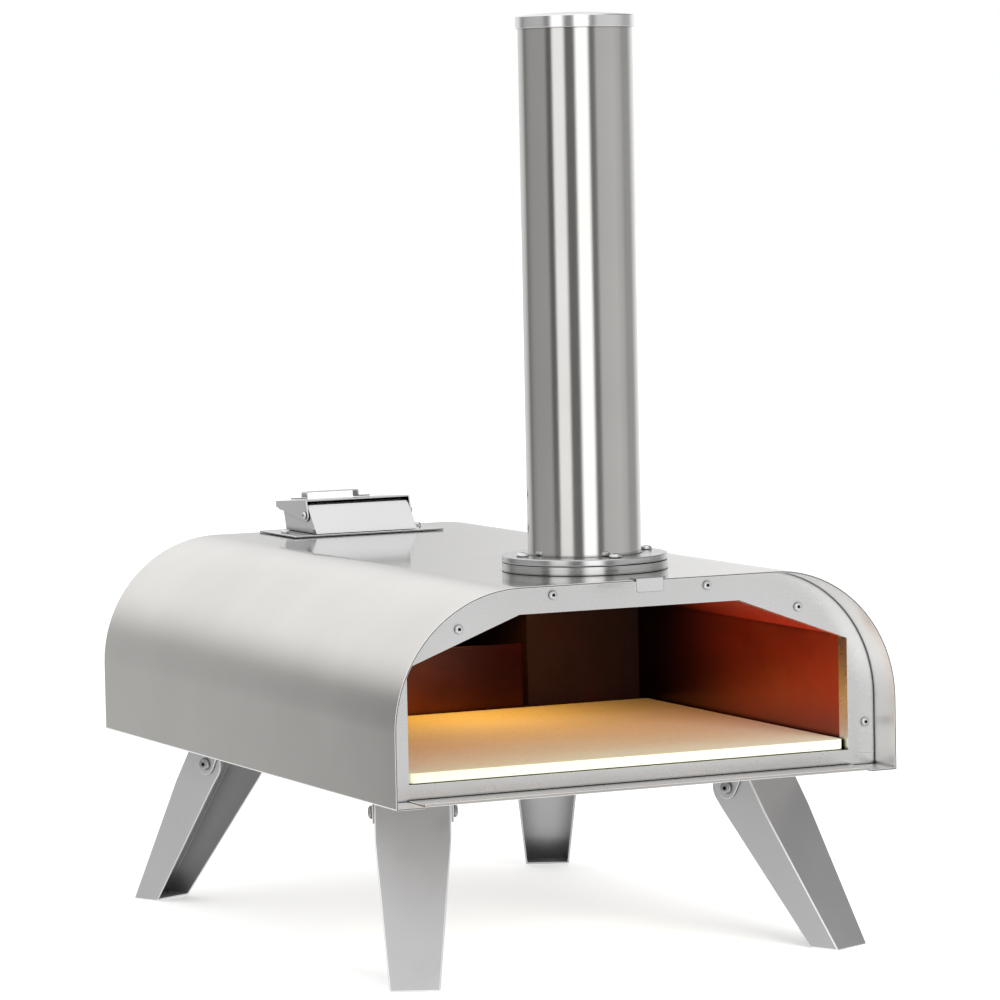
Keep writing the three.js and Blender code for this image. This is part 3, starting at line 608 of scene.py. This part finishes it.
# The studio's soft walls: bearing in degrees clockwise from +Y, and brightness there.
WALLS = [
    (0, 0.85),
    (20, 0.78),
    (24, 0.68),
    (28, 0.92),
    (50, 1.05),
    (66, 0.75),
    (76, 0.46),
    (97, 0.46),
    (107, 0.62),
    (125, 0.72),
    (163, 0.66),
    (169, 0.24),
    (177, 0.22),
    (183, 1.75),
    (204, 1.75),
    (210, 0.2),
    (226, 0.19),
    (231, 1.3),
    (252, 1.3),
    (257, 0.16),
    (265, 0.16),
    (272, 0.46),
    (309, 0.44),
    (320, 0.38),
    (328, 0.28),
    (334.5, 0.29),
    (337.4, 0.53),
    (339.5, 0.57),
    (350, 0.8),
]
RAMP_SCALE = 2.0  # a ramp holds no more than 1, so it holds the walls' brightness over this

# How bright the rest of the studio is. Mirrors see the last two in place of the real floor.
OVERHEAD = 1.08
OVERHEAD_RIGHT = 0.34
LOW_LEFT = 0.66
FLOOR_ALL_ROUND = 1.1
FLOOR_STRAIGHT_BELOW = 0.4

# The fire's lamps: how far along the tunnel each one is, as a share of its length, and its power.
FIRE_LAMPS = {"fire_glow_back": (0.87, 0.18), "fire_glow_front": (0.45, 0.015)}
FIRE_SIZE = 0.12
FIRE_COLOUR = (1.0, 0.53, 0.11)
FIRE_DROP = 0.02  # under the tunnel's roof

MOUTH_LAMP_PLACE = (0.3, -2.55, 0.98)
MOUTH_LAMP_SIZE = (1.5, 0.75)
MOUTH_LAMP_POWER = 52
MOUTH_LAMP_COLOUR = (1.0, 0.99, 0.9)
MOUTH_LAMP_AIM = 0.06  # it points at the stone, this far in from its front edge


def add_camera():
    camera = link("camera", bpy.data.cameras.new("camera"))
    camera.data.lens = CAMERA_LENS
    camera.data.sensor_width = CAMERA_SENSOR
    camera.data.clip_end = CAMERA_REACH
    camera.location = CAMERA_PLACE
    level = Euler((math.radians(90 - CAMERA_DROP), 0, math.radians(CAMERA_HEADING))).to_quaternion()
    camera.rotation_mode = "QUATERNION"
    camera.rotation_quaternion = level @ Quaternion((0, 0, 1), math.radians(CAMERA_ROLL))
    SCENE.camera = camera


def add_floor():
    """A wide white floor. Polished steel mirrors the studio's soft walls rather than its glare."""
    bm = bmesh.new()
    bmesh.ops.create_circle(bm, cap_ends=True, segments=96, radius=FLOOR_RADIUS)
    mesh = bpy.data.meshes.new("floor")
    bm.to_mesh(mesh)
    bm.free()
    floor = link("floor", mesh)
    floor.location.z = -FLOOR_DEPTH
    floor.visible_glossy = False
    floor.visible_shadow = False
    s = Shader("pale_floor")
    s.set(Base_Color=FLOOR_COLOUR, Roughness=0.9, Specular_IOR_Level=0.0)
    s.set(Emission_Color=WHITE, Emission_Strength=FLOOR_GLOW)
    mesh.materials.append(s.material)


def wall_points():
    """The walls' brightness as (place on a ramp, brightness), with both ends of the ramp equal."""
    points = sorted((((bearing + 180) % 360) / 360, level) for bearing, level in WALLS)
    (first, first_level), (last, last_level) = points[0], points[-1]
    seam = first_level + (last_level - first_level) * first / (first + 1 - last)
    return [(0.0, seam)] + points + [(1.0, seam)]


def add_world():
    """Soft studio surroundings: strip lights in front, greyer walls to the left, and pale overhead."""
    world = bpy.data.worlds.new("studio")
    SCENE.world = world
    world.use_nodes = True
    g = Graph(world.node_tree)
    x, y, z = g.split(g.node("ShaderNodeTexCoord").outputs["Generated"])
    turn = g.remap(g.math("ARCTAN2", x, y), -math.pi, math.pi)
    ramp = g.node("ShaderNodeValToRGB", {0: turn})
    points = wall_points()
    elements = ramp.color_ramp.elements
    while len(elements) < len(points):
        elements.new(0.5)
    for element, (place, level) in zip(elements, points):
        element.position = place
        element.color = (level / RAMP_SCALE, level / RAMP_SCALE, level / RAMP_SCALE, 1)
    walls = g.times(ramp.outputs[0], RAMP_SCALE)
    overhead = g.fade(x, 0.32, 0.7, OVERHEAD, OVERHEAD_RIGHT)
    upper = g.blend(g.fade(z, 0.07, 0.36), walls, overhead)
    to_the_left = g.fade(x, -0.55, -0.8)
    low_left = g.blend(g.times(to_the_left, g.fade(z, -0.085, -0.12)), upper, LOW_LEFT)
    lower = g.blend(g.fade(z, -0.2, -0.6), low_left, FLOOR_ALL_ROUND)
    whole = g.blend(g.fade(z, -0.83, -0.96), lower, FLOOR_STRAIGHT_BELOW)
    camera_ray = g.node("ShaderNodeLightPath").outputs["Is Camera Ray"]
    background = world.node_tree.nodes["Background"]
    g.feed(background, "Strength", g.blend(camera_ray, whole, 1.0))
    g.feed(background, "Color", WHITE)


def add_lamp(name, shape, power, colour, place):
    """A soft lamp that the camera doesn't see. It shines straight down until it is turned."""
    light = bpy.data.lights.new(name, "AREA")
    light.shape = shape
    light.energy = power
    light.color = colour
    lamp = link(name, light)
    lamp.location = place
    lamp.visible_camera = False
    return lamp


def add_fire_glow():
    """The warm light of the fire, which rolls under the roof from the burner towards the mouth."""
    low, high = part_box("inner_liner")
    for name, (along, power) in FIRE_LAMPS.items():
        place = (0.0, low.y + (high.y - low.y) * along, high.z - FIRE_DROP)
        lamp = add_lamp(name, "DISK", power, FIRE_COLOUR, place)
        lamp.data.size = FIRE_SIZE


def add_mouth_light():
    """A soft lamp in front of the mouth and to its right, which reaches in over the stone."""
    lamp = add_lamp("mouth_light", "RECTANGLE", MOUTH_LAMP_POWER, MOUTH_LAMP_COLOUR, MOUTH_LAMP_PLACE)
    lamp.data.size, lamp.data.size_y = MOUTH_LAMP_SIZE
    low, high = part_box("pizza_stone")
    target = Vector((0, low.y + MOUTH_LAMP_AIM, high.z))
    lamp.rotation_mode = "QUATERNION"
    lamp.rotation_quaternion = (target - lamp.location).to_track_quat("-Z", "Y")
    lamp.visible_glossy = False


def main():
    dress(make_finishes())
    add_camera()
    add_floor()
    add_world()
    add_fire_glow()
    add_mouth_light()
    SCENE.view_settings.view_transform = "Standard"


main()
